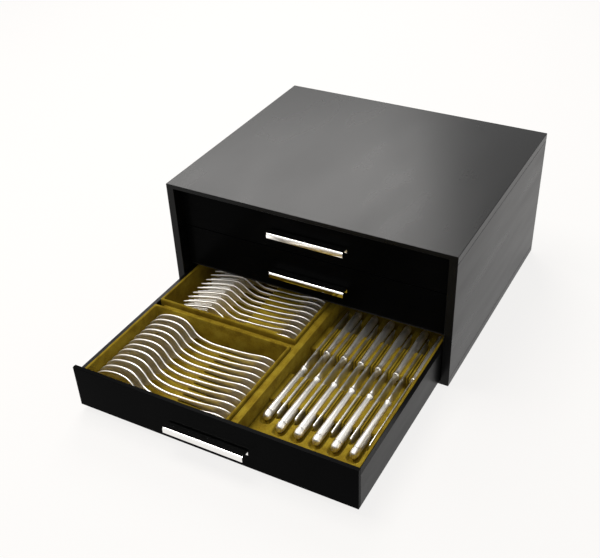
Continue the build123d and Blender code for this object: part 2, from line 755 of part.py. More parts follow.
def main():
    """Builds every node and writes it."""
    for name, shape in carcass_nodes().items():
        save(shape, name)
    box = box_nodes()
    upper = upper_insert_nodes()
    for number in range(1, DRAWER_COUNT + 1):
        insert = open_insert_nodes() if number == OPEN_DRAWER else upper
        for name, shape in (box | insert).items():
            if isinstance(shape, list):
                placed = [in_drawer(number, piece) for piece in shape]
            else:
                placed = in_drawer(number, shape)
            save(placed, f"drawer_{number}_{name}")


main()
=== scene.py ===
import random
from math import cos, pi, radians, sin

import bpy
import numpy as np
from mathutils import Euler, Matrix, Vector, noise


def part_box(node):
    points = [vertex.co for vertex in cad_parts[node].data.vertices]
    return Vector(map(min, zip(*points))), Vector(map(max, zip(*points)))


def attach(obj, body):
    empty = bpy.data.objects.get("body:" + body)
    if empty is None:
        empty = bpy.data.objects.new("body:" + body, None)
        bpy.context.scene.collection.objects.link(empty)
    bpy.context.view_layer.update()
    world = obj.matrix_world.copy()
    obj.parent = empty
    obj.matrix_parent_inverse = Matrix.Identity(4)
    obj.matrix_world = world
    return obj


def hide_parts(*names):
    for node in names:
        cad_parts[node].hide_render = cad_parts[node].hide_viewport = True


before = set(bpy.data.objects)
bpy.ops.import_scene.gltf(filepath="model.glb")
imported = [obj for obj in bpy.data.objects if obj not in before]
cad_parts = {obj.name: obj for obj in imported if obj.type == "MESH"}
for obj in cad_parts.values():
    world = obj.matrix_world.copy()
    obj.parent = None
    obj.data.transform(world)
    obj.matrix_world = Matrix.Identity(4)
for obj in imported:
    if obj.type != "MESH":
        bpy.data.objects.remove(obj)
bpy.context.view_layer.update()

# Silverware chest with an open lower drawer. The wooden and metal nodes of the frame stay and
# get their finish here. The velvet, the felt and the cutlery are rebuilt as finer meshes.
#
# Pieces of a drawer are written in the drawer's own frame, in millimetres: x to the right,
# y from the front face backwards, z from the drawer's lower edge upwards.

MM = 0.001
random.seed(7)

# ---------------------------------------------------------------- camera
CAMERA_PLACE = (0.528263, -1.118725, 0.859969)
CAMERA_RIGHT = (0.88479046, 0.46528221, -0.02565763)
CAMERA_DOWN = (0.26281858, -0.54373376, -0.79704453)
CAMERA_AHEAD = (-0.38480156, 0.6984741, -0.60337525)
CAMERA_SENSOR = 36.0
CAMERA_LENS = 54.71
CAMERA_SHIFT = (-0.0283, 0.0593)

# ---------------------------------------------------------------- velvet insert, mm
PIPING = 1.1
RIB_ROUND = 0.9
PAD_ROUND = 2.0
GRID_STEP = 0.55
RACK_STEP = 0.5
COMB_STEP = 0.45
FLOOR_STEP = 0.9

# ---------------------------------------------------------------- cutlery, mm
PIECES = 12
AXIS_Z = 32.0
SPOON_FIRST_Y = 12.75
SPOON_PITCH = 12.75
FORK_FIRST_Y = 205.5
FORK_PITCH = 12.5
TINE_PITCH = 6.6
TINE_ROOT_X = -141.0
KNIFE_PITCH = 26.4
KNIVES_PER_ROW = 6
FRONT_KNIFE_X = 47.3
BACK_KNIFE_X = 61.0
FRONT_BUTT_Y = 50.5
FIRST_KNIFE_SHIFT = 12.0
BACK_BUTT_Y = 320.0
KNIFE_AXIS_Z = 28.5
KNIFE_LENGTH = 249.0
BLADE_HALF = 0.9
BLADE_TAPER_Y = 231
SPOON_LEAN = 0.09
CUTLERY_SHIFT = 2.0
CUTLERY_LIFT = 2.5
LEAF_PARTS = 12
RIM_PARTS = 6

# ---------------------------------------------------------------- stem racks, mm
STEM_SLOT_DEPTH = 11.0
SPOON_CREST_Z = 33.5
SPOON_FOOT_Z = 31.5
RACK_CREST_Z = 40.5
RACK_FOOT_Z = 37.5
CLOSED_RACK_FIRST_Y = 34.0
CLOSED_RACK_PITCH = 27.0
CLOSED_RACK_SLOTS = 12

# ---------------------------------------------------------------- knife supports, mm
GROOVE_HALF = 5.3
GROOVE_AXIS_Z = 23.0
SLOT_HALF = 1.6
SLOT_BOTTOM = 15.0
SPARE_HALF = 0.8
SPARE_BOTTOM = 21.0
SPARE_SHIFT = 5.3
WELL_RADIUS = 9.2
WELL_SHIFT = 1.6
WELL_AXIS_Z = 28.0
POCKET_HALF = 4.5
TIP_ROOM = 1.5

# ---------------------------------------------------------------- studio, m
FLOOR_REACH = 12.0


# ================================================================ materials
def node_material(name):
    """New material with a principled shader; returns the material, its nodes, links and shader."""
    material = bpy.data.materials.new(name)
    material.use_nodes = True
    tree = material.node_tree
    return material, tree.nodes, tree.links, tree.nodes["Principled BSDF"]


def noise_node(nodes, links, scale, detail=4.0, stretch=None):
    """Noise in object space; stretch squeezes it along the axes."""
    texture = nodes.new("ShaderNodeTexNoise")
    texture.inputs["Scale"].default_value = scale
    texture.inputs["Detail"].default_value = detail
    place = nodes.new("ShaderNodeTexCoord")
    mapping = nodes.new("ShaderNodeMapping")
    mapping.inputs["Scale"].default_value = stretch or (1, 1, 1)
    links.new(place.outputs["Object"], mapping.inputs["Vector"])
    links.new(mapping.outputs["Vector"], texture.inputs["Vector"])
    return texture.outputs["Fac"]


def ramp_node(nodes, links, value, stops):
    """Colour ramp through (position, colour) stops."""
    ramp = nodes.new("ShaderNodeValToRGB")
    ramp.color_ramp.elements[0].position = stops[0][0]
    ramp.color_ramp.elements[0].color = (*stops[0][1], 1)
    ramp.color_ramp.elements[1].position = stops[-1][0]
    ramp.color_ramp.elements[1].color = (*stops[-1][1], 1)
    for position, colour in stops[1:-1]:
        element = ramp.color_ramp.elements.new(position)
        element.color = (*colour, 1)
    links.new(value, ramp.inputs["Fac"])
    return ramp.outputs["Color"]


def range_node(nodes, links, value, low, high):
    """Stretches a noise value to the given range."""
    stretch = nodes.new("ShaderNodeMapRange")
    stretch.inputs["From Min"].default_value = 0.3
    stretch.inputs["From Max"].default_value = 0.7
    stretch.inputs["To Min"].default_value = low
    stretch.inputs["To Max"].default_value = high
    links.new(value, stretch.inputs["Value"])
    return stretch.outputs["Result"]


def bump_node(nodes, links, value, strength, distance):
    """Bump from a height value."""
    bump = nodes.new("ShaderNodeBump")
    bump.inputs["Strength"].default_value = strength
    bump.inputs["Distance"].default_value = distance
    links.new(value, bump.inputs["Height"])
    return bump.outputs["Normal"]


def lacquer(name, dark, light, specular, roughness):
    """Satin black lacquer: faint cloudiness, soft rubbing marks and a slight orange peel."""
    material, nodes, links, shader = node_material(name)
    shader.inputs["Specular IOR Level"].default_value = specular
    cloud = noise_node(nodes, links, 9.0)
    links.new(ramp_node(nodes, links, cloud, [(0.35, dark), (0.65, light)]), shader.inputs["Base Color"])
    rubbing = noise_node(nodes, links, 14.0, 5.0, (1.0, 0.35, 2.5))
    links.new(range_node(nodes, links, rubbing, *roughness), shader.inputs["Roughness"])
    peel = noise_node(nodes, links, 420.0, 2.0)
    links.new(bump_node(nodes, links, peel, 0.02, 0.0001), shader.inputs["Normal"])
    return material


def wood(name, dark, light, roughness):
    """Plain softwood with long grain along Y."""
    material, nodes, links, shader = node_material(name)
    shader.inputs["Specular IOR Level"].default_value = 0.3
    grain = noise_node(nodes, links, 120.0, 8.0, (1.0, 0.06, 1.0))
    links.new(ramp_node(nodes, links, grain, [(0.3, dark), (0.7, light)]), shader.inputs["Base Color"])
    links.new(range_node(nodes, links, grain, *roughness), shader.inputs["Roughness"])
    links.new(bump_node(nodes, links, grain, 0.2, 0.0003), shader.inputs["Normal"])
    return material


def velvet(name):
    """Old-gold velvet: mottled nap, soft sheen and a fine pile."""
    material, nodes, links, shader = node_material(name)
    shader.inputs["Roughness"].default_value = 0.9
    shader.inputs["Specular IOR Level"].default_value = 0.1
    shader.inputs["Sheen Weight"].default_value = 0.25
    shader.inputs["Sheen Roughness"].default_value = 0.4
    shader.inputs["Sheen Tint"].default_value = (0.95, 0.82, 0.25, 1)
    crushed = noise_node(nodes, links, 55.0, 5.0)
    pile = noise_node(nodes, links, 700.0, 3.0)
    mixed = nodes.new("ShaderNodeMix")
    mixed.inputs["Factor"].default_value = 0.35
    links.new(crushed, mixed.inputs["A"])
    links.new(pile, mixed.inputs["B"])
    stops = [(0.36, (0.180, 0.112, 0.006)), (0.5, (0.275, 0.188, 0.012)), (0.66, (0.360, 0.265, 0.024))]
    links.new(ramp_node(nodes, links, mixed.outputs["Result"], stops), shader.inputs["Base Color"])
    links.new(bump_node(nodes, links, pile, 0.5, 0.0006), shader.inputs["Normal"])
    return material


def felt(name):
    """Black wool felt."""
    material, nodes, links, shader = node_material(name)
    shader.inputs["Roughness"].default_value = 1.0
    shader.inputs["Sheen Weight"].default_value = 0.2
    fibres = noise_node(nodes, links, 500.0, 6.0)
    stops = [(0.3, (0.004, 0.004, 0.004)), (0.7, (0.02, 0.02, 0.021))]
    links.new(ramp_node(nodes, links, fibres, stops), shader.inputs["Base Color"])
    links.new(bump_node(nodes, links, fibres, 0.8, 0.0008), shader.inputs["Normal"])
    return material


def polished_metal(name, dark, light, roughness, scratch):
    """Polished metal with faint tarnish clouds and hairline scratches."""
    material, nodes, links, shader = node_material(name)
    shader.inputs["Metallic"].default_value = 1.0
    cloud = noise_node(nodes, links, 35.0, 3.0)
    links.new(ramp_node(nodes, links, cloud, [(0.3, dark), (0.7, light)]), shader.inputs["Base Color"])
    hairs = noise_node(nodes, links, 300.0, 5.0, (0.15, 1.0, 1.0))
    links.new(range_node(nodes, links, hairs, *roughness), shader.inputs["Roughness"])
    links.new(bump_node(nodes, links, hairs, scratch, 0.0001), shader.inputs["Normal"])
    return material


MATERIALS = {
    "case_lacquer": lacquer("case_lacquer", (0.0024, 0.0025, 0.0025), (0.0032, 0.0033, 0.0032),
                            0.13, (0.26, 0.32)),
    # Painted shade: the drawer fronts get the case's lacquer with a slightly darker base colour and almost no
    # specular reflection, so they stay as dark as the shaded surroundings they reflect
    "drawer_lacquer": lacquer("drawer_lacquer", (0.0018, 0.0020, 0.0022), (0.0026, 0.0028, 0.0030),
                              0.01, (0.22, 0.28)),
    "box_lacquer": lacquer("box_lacquer", (0.0022, 0.0022, 0.0022), (0.0034, 0.0033, 0.0032),
                           0.1, (0.3, 0.38)),
    "back_board": lacquer("back_board", (0.006, 0.006, 0.006), (0.012, 0.012, 0.012), 0.25, (0.45, 0.6)),
    "inner_wood": wood("inner_wood", (0.006, 0.006, 0.006), (0.014, 0.013, 0.012), (0.5, 0.65)),
    "slip_strip": wood("slip_strip", (0.03, 0.028, 0.026), (0.05, 0.047, 0.044), (0.35, 0.45)),
    "felt": felt("felt"),
    "velvet": velvet("velvet"),
    "polished_handle": polished_metal("polished_handle", (0.86, 0.85, 0.83), (0.93, 0.92, 0.9),
                                      (0.03, 0.07), 0.03),
    "screw_steel": polished_metal("screw_steel", (0.5, 0.5, 0.5), (0.62, 0.62, 0.61), (0.2, 0.35), 0.1),
    "silver_plate": polished_metal("silver_plate", (0.88, 0.85, 0.80), (0.97, 0.95, 0.91),
                                   (0.38, 0.46), 0.04),
    "blade_steel": polished_metal("blade_steel", (0.68, 0.68, 0.66), (0.8, 0.8, 0.78), (0.3, 0.38), 0.06),
}


def finish_cad_nodes():
    """Every node that keeps its solid gets the finish of its slot."""
    for name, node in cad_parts.items():
        slot_name = node.material_slots[0].material.name.split(".")[0]
        for place in node.material_slots:
            place.material = MATERIALS[slot_name]


# ================================================================ mesh helpers
def drawer_origin(number):
    """Front lower edge of a drawer, on the middle plane."""
    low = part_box(f"drawer_{number}_front")[0]
    return Vector((0, low.y, low.z))


def local_box(number, part):
    """Limits of a drawer's node in the drawer's frame: x range, y range, z range."""
    origin = drawer_origin(number)
    low, high = [(corner - origin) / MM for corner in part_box(f"drawer_{number}_{part}")]
    return tuple((low[axis], high[axis]) for axis in range(3))


def add_piece(name, points, faces, slot_name, body, place, sharp=40.0):
    """Mesh object from points in millimetres; rides on a body and takes its finish from a slot."""
    mesh = bpy.data.meshes.new(name)
    mesh.from_pydata([Vector(point) * MM for point in points], [], faces)
    mesh.materials.append(MATERIALS[slot_name])
    mesh.shade_smooth()
    mesh.set_sharp_from_angle(angle=radians(sharp))
    return add_copy(name, mesh, body, Matrix.Translation(place))


def add_copy(name, mesh, body, matrix):
    """Object that shows a mesh at a place."""
    piece = bpy.data.objects.new(name, mesh)
    bpy.context.scene.collection.objects.link(piece)
    piece.matrix_world = matrix
    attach(piece, body)
    return piece


def ring_faces(rings, count, closed_ends=True):
    """Faces between successive closed rings of `count` points each."""
    faces = []
    for ring in range(rings - 1):
        for index in range(count):
            after = (index + 1) % count
            low = ring * count
            faces.append((low + index, low + after, low + count + after, low + count + index))
    if closed_ends:
        faces.append(tuple(range(count - 1, -1, -1)))
        faces.append(tuple((rings - 1) * count + index for index in range(count)))
    return faces


def smooth_stations(stations, steps):
    """More rows between the given ones, on Catmull-Rom curves."""
    rows = [np.array(station, float) for station in stations]
    rows = [2 * rows[0] - rows[1]] + rows + [2 * rows[-1] - rows[-2]]
    result = []
    for index in range(1, len(rows) - 2):
        before, start, end, after = rows[index - 1:index + 3]
        for step in range(steps):
            t = step / steps
            curve = 0.5 * (2 * start + (end - before) * t + (2 * before - 5 * start + 4 * end - after) * t ** 2
                           + (3 * start - before - 3 * end + after) * t ** 3)
            result.append(curve.tolist())
    result.append(rows[-2].tolist())
    return result


def wave(x, y, z, size, amount):
    """Small seeded unevenness at a point."""
    return amount * noise.noise(Vector((x / size, y / size, z / size)))


def edge_drop(distance, radius):
    """How far a rounded edge lies below the top, at a distance from the edge."""
    inside = np.clip(radius - distance, 0, radius)
    return radius - np.sqrt(np.maximum(radius ** 2 - inside ** 2, 0))


def corner_distance(first, second, radius):
    """Distance to the outline where two edges meet in a rounded corner."""
    near = (first < radius) & (second < radius)
    rounded = radius - np.hypot(radius - first, radius - second)
    return np.where(near, rounded, np.minimum(first, second))


def height_piece(name, x_range, y_range, base_z, height, number, step=GRID_STEP, slot_name="velvet"):
    """Closed block whose upper surface follows height(x, y)."""
    columns = int(round((x_range[1] - x_range[0]) / step)) + 1
    lines = int(round((y_range[1] - y_range[0]) / step)) + 1
    xs = np.linspace(*x_range, columns)
    ys = np.linspace(*y_range, lines)
    grid_x, grid_y = np.meshgrid(xs, ys)
    tops = height(grid_x, grid_y)
    points = [(grid_x[j, i], grid_y[j, i], tops[j, i]) for j in range(lines) for i in range(columns)]
    faces = [(j * columns + i, j * columns + i + 1, (j + 1) * columns + i + 1, (j + 1) * columns + i)
             for j in range(lines - 1) for i in range(columns - 1)]
    rim = list(range(columns))
    rim += [j * columns + columns - 1 for j in range(1, lines)]
    rim += [(lines - 1) * columns + i for i in range(columns - 2, -1, -1)]
    rim += [j * columns for j in range(lines - 2, 0, -1)]
    first = len(points)
    points += [(points[index][0], points[index][1], base_z) for index in rim]
    for place in range(len(rim)):
        after = (place + 1) % len(rim)
        faces.append((rim[after], rim[place], first + place, first + after))
    faces.append(tuple(first + place for place in range(len(rim) - 1, -1, -1)))
    return add_piece(name, points, faces, slot_name, f"drawer_{number}", drawer_origin(number))


# ================================================================ velvet trays
def rounded_loop(x_range, y_range, radius, counts, corner_points):
    """Points round a rectangle with rounded corners, counted per side."""
    (x0, x1), (y0, y1) = x_range, y_range
    corners = [((x1 - radius, y0 + radius), -90), ((x1 - radius, y1 - radius), 0),
               ((x0 + radius, y1 - radius), 90), ((x0 + radius, y0 + radius), 180)]
    points = []
    for index, (centre, start) in enumerate(corners):
        for step in range(corner_points + 1):
            turn = radians(start + 90 * step / corner_points)
            points.append((centre[0] + radius * cos(turn), centre[1] + radius * sin(turn)))
        following, next_start = corners[(index + 1) % 4]
        turn = radians(next_start)
        target = (following[0] + radius * cos(turn), following[1] + radius * sin(turn))
        last = points[-1]
        parts = counts[(index + 1) % 2]
        for step in range(1, parts):
            share = step / parts
            x = last[0] + (target[0] - last[0]) * share
            y = last[1] + (target[1] - last[1]) * share
            points.append((x, y))
    return points


def tray_profile(rim_z, floor_z, bottom_z, wall):
    """Wall of a tray as (distance inwards, height): outer face, rounded rim, piping, inner face."""
    groove = wall - 2 * PIPING
    return [(0.3, bottom_z), (0.1, bottom_z + 2), (0.0, rim_z - 3), (0.15, rim_z - 1.1), (0.6, rim_z - 0.4),
            (0.5 * groove + 0.3, rim_z), (groove, rim_z - 0.25), (groove + 0.25, rim_z - 0.75),
            (groove + 0.45, rim_z - 0.35), (groove + 0.9, rim_z - 0.1), (groove + 1.6, rim_z - 0.3),
            (wall, rim_z - 1.0), (wall + 0.1, rim_z - 2.2), (wall - 0.15, rim_z - 3.2), (wall, rim_z - 12),
            (wall, floor_z + 2.0), (wall + 0.5, floor_z + 0.7), (wall + 1.8, floor_z)]


def tray(name, number, part, wall=3.6, floor=2.0):
    """Velvet tray in place of a tray node."""
    x_range, y_range, z_range = local_box(number, part)
    profile = tray_profile(z_range[1], z_range[0] + floor, z_range[0], wall)
    counts = [max(2, int((limits[1] - limits[0]) / 4)) for limits in (x_range, y_range)]
    points = []
    count = 0
    for inward, z in profile:
        x_limits = (x_range[0] + inward, x_range[1] - inward)
        y_limits = (y_range[0] + inward, y_range[1] - inward)
        loop = rounded_loop(x_limits, y_limits, 1.2 + 0.3 * inward, counts, 5)
        count = len(loop)
        for x, y in loop:
            sway = wave(x, y, z, 18, 0.25) if inward > 0.3 else 0.0
            points.append((x + sway, y + sway, z + wave(x, y, 7, 12, 0.15)))
    faces = ring_faces(len(profile), count)
    piece = add_piece(name, points, faces, "velvet", f"drawer_{number}", drawer_origin(number), 60)
    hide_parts(f"drawer_{number}_{part}")


def soft_bar(name, number, part):
    """Velvet-covered bar with piping along both upper edges."""
    x_range, y_range, z_range = local_box(number, part)
    half_x = (x_range[1] - x_range[0]) / 2
    half_y = (y_range[1] - y_range[0]) / 2
    centre = ((x_range[0] + x_range[1]) / 2, (y_range[0] + y_range[1]) / 2)

    def height(x, y):
        from_x = half_x - np.abs(x - centre[0])
        from_y = half_y - np.abs(y - centre[1])
        distance = corner_distance(from_x, from_y, 1.5)
        groove = 0.55 * np.exp(-((distance - 2.3) / 0.45) ** 2)
        return z_range[1] - edge_drop(distance, 1.2) - groove

    piece = height_piece(name, x_range, y_range, z_range[0], height, number)
    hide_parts(f"drawer_{number}_{part}")


# ================================================================ stem racks
def stem_rack(name, number, part, first_y, pitch, count, crest_z, foot_z, slot_half=1.7):
    """Velvet block with rounded ridges and a narrow slot between them for every stem."""
    x_range, y_range, z_range = local_box(number, part)
    slot_bottom = AXIS_Z - STEM_SLOT_DEPTH

    def height(x, y):
        phase = (y - first_y + pitch / 2) % pitch - pitch / 2
        index = np.round((y - first_y) / pitch)
        in_row = (index >= 0) & (index < count)
        from_slot = np.abs(phase) - slot_half
        ridge_half = pitch / 2 - slot_half
        crown = foot_z + (crest_z - foot_z) * np.sqrt(np.clip(1 - (1 - from_slot / ridge_half) ** 2, 0, 1))
        outer = np.full_like(y, crest_z - 1.0)
        ridge = np.where(in_row, crown, outer)
        ridge = np.where(in_row & (from_slot < 0), slot_bottom, ridge)
        from_end = np.minimum(x - x_range[0], x_range[1] - x)
        from_side = np.minimum(y - y_range[0], y_range[1] - y)
        return ridge - edge_drop(from_end, 2.4) * (ridge > slot_bottom) - edge_drop(from_side, 1.5)

    piece = height_piece(name, x_range, y_range, z_range[0], height, number, RACK_STEP)
    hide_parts(f"drawer_{number}_{part}")


# ================================================================ knife supports
def land_distance(x, openings):
    """Distance from x to the nearest opening, negative inside one."""
    distance = np.full_like(x, 1e3)
    for low, high in openings:
        distance = np.minimum(distance, np.maximum(low - x, x - high))
    return distance


def knife_xs(first_x):
    """X of each knife in one row."""
    return [first_x + index * KNIFE_PITCH for index in range(KNIVES_PER_ROW)]


def butts(row):
    """X and Y of the knife butts of one row; the first knife of the front row lies further back."""
    if row == "back":
        return [(x, BACK_BUTT_Y) for x in knife_xs(BACK_KNIFE_X)]
    shifts = [FIRST_KNIFE_SHIFT] + [0.0] * (KNIVES_PER_ROW - 1)
    return [(x, FRONT_BUTT_Y + shift) for x, shift in zip(knife_xs(FRONT_KNIFE_X), shifts)]


def knife_rack(name, part, handle_x, blade_x):
    """Comb block between pad and trough."""
    x_range, y_range, z_range = local_box(3, part)
    grooves = [(x - GROOVE_HALF, x + GROOVE_HALF) for x in knife_xs(handle_x)]
    slots = [(x - SLOT_HALF, x + SLOT_HALF) for x in knife_xs(blade_x)]
    spares = [(x + SPARE_SHIFT - SPARE_HALF, x + SPARE_SHIFT + SPARE_HALF) for x in knife_xs(blade_x)]

    def height(x, y):
        from_opening = land_distance(x, grooves + slots + spares)
        from_end = np.minimum(y - y_range[0], y_range[1] - y)
        distance = corner_distance(np.maximum(from_opening, 0), from_end, 1.4)
        land = z_range[1] - edge_drop(distance, RIB_ROUND)
        in_groove = land_distance(x, grooves) < 0
        offset = np.min([np.abs(x - centre) for centre in knife_xs(handle_x)], axis=0)
        round_bottom = GROOVE_AXIS_Z - np.sqrt(np.maximum(GROOVE_HALF ** 2 - offset ** 2, 0))
        result = np.where(from_opening < 0, SLOT_BOTTOM, land)
        result = np.where(land_distance(x, spares) < 0, SPARE_BOTTOM, result)
        return np.where(in_groove, round_bottom, result)

    piece = height_piece(name, x_range, y_range, z_range[0], height, 3, COMB_STEP)
    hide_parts(f"drawer_3_{part}")


def butt_pad(name, part, row, outward):
    """Padded block with a round-ended well for every butt and a pocket for every passing tip."""
    x_range, y_range, z_range = local_box(3, part)
    open_y = y_range[0] if outward > 0 else y_range[1]
    other = "front" if row == "back" else "back"

    def height(x, y):
        from_well = np.full_like(x, 1e3)
        bowl = np.full_like(x, 1e3)
        for centre, butt_y in butts(row):
            beyond = np.maximum(outward * (y - butt_y), 0)
            spread = np.hypot(x - centre - WELL_SHIFT, beyond)
            from_well = np.minimum(from_well, spread - WELL_RADIUS)
            depth = np.sqrt(np.maximum(WELL_RADIUS ** 2 - spread ** 2, 0))
            bowl = np.minimum(bowl, np.where(spread < WELL_RADIUS, WELL_AXIS_Z - depth, 1e3))
        from_pocket = np.full_like(x, 1e3)
        for centre, butt_y in butts(other):
            end_y = butt_y + outward * (KNIFE_LENGTH + TIP_ROOM)
            beyond = np.maximum(outward * (y - end_y) + POCKET_HALF, 0)
            from_pocket = np.minimum(from_pocket, np.hypot(x - centre, beyond) - POCKET_HALF)
        from_edge = np.minimum(x - x_range[0], x_range[1] - x)
        from_edge = np.minimum(from_edge, np.abs(y - open_y))
        distance = np.minimum(np.minimum(from_well, from_pocket), from_edge)
        land = z_range[1] - edge_drop(np.maximum(distance, 0), PAD_ROUND)
        result = np.where(from_pocket < 0, SLOT_BOTTOM, land)
        return np.minimum(result, bowl)

    piece = height_piece(name, x_range, y_range, z_range[0], height, 3)
    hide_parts(f"drawer_3_{part}")


def knife_tray(name):
    """Padded floor, right lining with its bead, and back lining of the knife side."""
    x_range, y_range, z_range = local_box(3, "knife_tray")
    floor_z = local_box(3, "front_butt_pad")[2][0]
    back_y = local_box(3, "back_butt_pad")[1][1]
    right_x = local_box(3, "front_butt_pad")[0][1]
    bead_x = x_range[1] - 3.6

    def height(x, y):
        swell = np.vectorize(lambda a, b: wave(a, b, 3, 14, 0.3))(x, y)
        floor = floor_z + swell
        lining = (x > right_x) | (y > back_y)
        outward = np.minimum(x_range[1] - x, y_range[1] - y)
        top = z_range[1] - edge_drop(np.maximum(outward, 0), 1.0)
        return np.where(lining, top, floor)

    piece = height_piece(name, x_range, y_range, z_range[0], height, 3, FLOOR_STEP)
    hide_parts("drawer_3_knife_tray")
    section = [(0.0, -3.6), (3.6, -3.6), (3.6, -0.9), (3.3, -0.25), (2.6, 0.0), (1.9, -0.15), (1.5, -0.6),
               (1.1, -0.25), (0.5, -0.45), (0.05, -1.1), (-0.15, -2.2)]
    points = []
    lengths = np.linspace(y_range[0], y_range[1], 60)
    for y in lengths:
        sway = wave(3, y, 0, 16, 0.2)
        points += [(bead_x + across + sway * (across < 2), y, z_range[1] + up) for across, up in section]
    faces = ring_faces(len(lengths), len(section))
    add_piece(f"{name}_bead", points, faces, "velvet", "drawer_3", drawer_origin(3), 60)


# ================================================================ cutlery
def leaf_ring(x, mid_y, half_width, hollow, sheet):
    """Ring across X round a thin leaf with rounded rims, its middle bowed backwards by `hollow`."""
    core = max(half_width - sheet / 2, 0.05)
    ring = []
    for side in (1, -1):
        for step in range(LEAF_PARTS + 1):
            across = side * (2 * step / LEAF_PARTS - 1)
            normal = Vector((0, core, 2 * hollow * across)).normalized()
            middle = Vector((x, mid_y + hollow * (1 - across ** 2), across * core))
            ring.append(middle + side * normal * sheet / 2)
        outward = Vector((0, -2 * hollow * side, core * side)).normalized()
        rim_normal = Vector((0, core, 2 * hollow * side)).normalized()
        end = Vector((x, mid_y, side * core))
        for step in range(1, RIM_PARTS):
            turn = pi * step / RIM_PARTS
            ring.append(end + sheet / 2 * (side * cos(turn) * rim_normal + sin(turn) * outward))
    return ring


def loft_mesh(name, rings, slot_name, sharp=50.0):
    """Closed mesh through rings of points in millimetres."""
    mesh = bpy.data.meshes.new(name)
    points = [Vector(point) * MM for ring in rings for point in ring]
    mesh.from_pydata(points, [], ring_faces(len(rings), len(rings[0])))
    mesh.materials.append(MATERIALS[slot_name])
    mesh.shade_smooth()
    mesh.set_sharp_from_angle(angle=radians(sharp))
    return mesh


# Rows across a leaf: x, middle y, half width, hollow, sheet thickness.
HANDLE_STATIONS = [(-92, 0, 2.8, 0, 2.5), (-70, 0, 3.2, 0, 2.5), (-50, 0, 4.2, 0, 2.4), (-34, 0, 5.9, 0, 2.4),
                   (-22, 0, 7.8, 0, 2.3), (-13, 0.1, 9.2, 0, 2.2), (-6, 0.3, 9.6, 0, 2.1), (0, 0.5, 9.1, 0, 2.0),
                   (6, 0.8, 7.2, 0, 2.0), (10, 1.1, 4.4, 0, 1.9), (12, 1.3, 1.6, 0, 1.6)]


def spoon_mesh():
    """Table spoon on its edge, bowl to the left, hollow side to the front."""
    bowl = [(-198.5, 6.8, 1.6, 0.1, 1.4), (-198, 7.2, 4.4, 0.5, 1.7), (-196, 8.2, 8.6, 1.4, 1.9),
            (-191, 10.2, 13.0, 3.2, 2.0), (-183, 12.2, 16.6, 5.0, 2.0), (-171, 13.6, 18.8, 6.0, 2.0),
            (-157, 13.9, 19.4, 6.2, 2.0), (-145, 12.8, 17.9, 5.4, 2.0), (-136, 10.6, 14.0, 3.8, 2.1),
            (-130, 8.6, 9.2, 2.0, 2.2), (-125, 6.8, 5.4, 0.8, 2.4), (-118, 4.6, 3.6, 0.2, 2.5),
            (-108, 2.2, 3.0, 0, 2.5)]
    rows = smooth_stations(bowl + HANDLE_STATIONS, 4)
    return loft_mesh("table_spoon", [leaf_ring(*row) for row in rows], "silver_plate", 70)


def fork_mesh():
    """Table fork on its edge, tines to the left."""
    neck = [(TINE_ROOT_X, 8.6, 11.5, 0, 1.8), (-131, 10.0, 10.6, 0.6, 1.9), (-121, 8.8, 6.2, 0.4, 2.2),
            (-110, 5.0, 3.4, 0, 2.5), (-99, 1.2, 3.0, 0, 2.6)]
    body = [leaf_ring(*row) for row in smooth_stations(neck + HANDLE_STATIONS, 4)]
    tine = [(-182, -6.5, 0.7, 0, 0.9), (-179, -5.1, 1.2, 0, 1.4), (-170, -1.5, 1.6, 0, 1.8),
            (-155, 4.7, 1.6, 0, 1.9), (-141, 8.6, 1.6, 0, 1.8), (-137, 9.4, 1.6, 0, 1.8)]
    rings = [leaf_ring(*row) for row in smooth_stations(tine, 3)]
    count = len(body[0])
    points = [point for ring in body for point in ring]
    faces = ring_faces(len(body), count)
    for index in range(4):
        shift = Vector((0, 0, (index - 1.5) * TINE_PITCH))
        first = len(points)
        points += [point + shift for ring in rings for point in ring]
        faces += [tuple(first + corner for corner in face) for face in ring_faces(len(rings), count)]
    mesh = bpy.data.meshes.new("table_fork")
    mesh.from_pydata([Vector(point) * MM for point in points], [], faces)
    mesh.materials.append(MATERIALS["silver_plate"])
    mesh.shade_smooth()
    mesh.set_sharp_from_angle(angle=radians(70))
    return mesh


def oval_ring(y, half_width, half_height, count=28):
    """Ring across Y."""
    turns = [2 * pi * index / count for index in range(count)]
    return [(half_width * cos(turn), y, half_height * sin(turn)) for turn in turns]


def knife_handle_mesh():
    """Hollow-ware handle with a butt cap, collar and flared bolster, lying along Y from its butt."""
    cap = [(0, 1.4, 2.0), (0.4, 2.8, 3.6), (2, 4.6, 5.6), (5, 5.5, 6.9), (8.5, 5.8, 7.4), (11, 5.6, 7.2),
           (12.2, 5.2, 6.8)]
    grip = [(12.8, 5.1, 6.6), (14, 5.4, 7.0), (22, 5.6, 7.2), (45, 5.3, 6.8), (75, 4.8, 6.1), (105, 4.2, 5.4)]
    rings = [oval_ring(*row) for row in smooth_stations(cap, 4) + smooth_stations(grip, 5)]
    collar = [(105.6, 4.3, 5.8), (106.0, 4.8, 6.6), (107, 5.0, 6.9), (108.4, 4.9, 6.9), (109, 4.3, 6.6)]
    rings += [oval_ring(*row) for row in collar]
    flare = [(109.6, 3.7, 6.6), (111, 3.3, 7.0), (114, 2.6, 7.5), (118, 1.8, 7.8), (121, 1.1, 7.9)]
    rings += [oval_ring(*row) for row in flare]
    return loft_mesh("knife_handle", rings, "silver_plate", 50)


